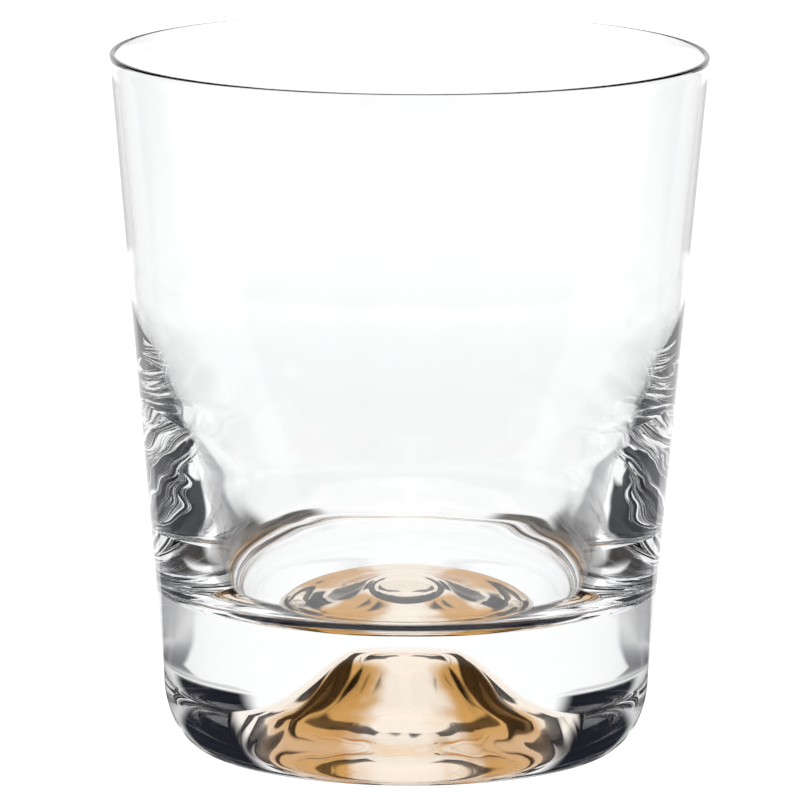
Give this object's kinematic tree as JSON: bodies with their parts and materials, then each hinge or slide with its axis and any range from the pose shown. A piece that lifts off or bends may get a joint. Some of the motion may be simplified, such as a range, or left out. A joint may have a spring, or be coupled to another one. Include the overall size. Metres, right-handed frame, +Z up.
{
  "type": "whiskey tumbler",
  "caption": "Heavy-based, tapered clear glass tumbler with a deep round bowl and a gold-lined peak pressed up into its solid base.",
  "frame": {"origin": "centre of the foot ring, on the surface that the tumbler stands on", "axes": "+Z up along the axis of the glass, from the foot to the rim; the part is turned around it, so +X and +Y are free"},
  "size_m": [0.0858, 0.0858, 0.101],
  "materials": {
    "clear_glass": "polished",
    "gold_lustre": "polished"
  },
  "bodies": {
    "root": {"glass_body": "clear_glass", "peak_lining": "gold_lustre"}
  },
  "joints": []
}
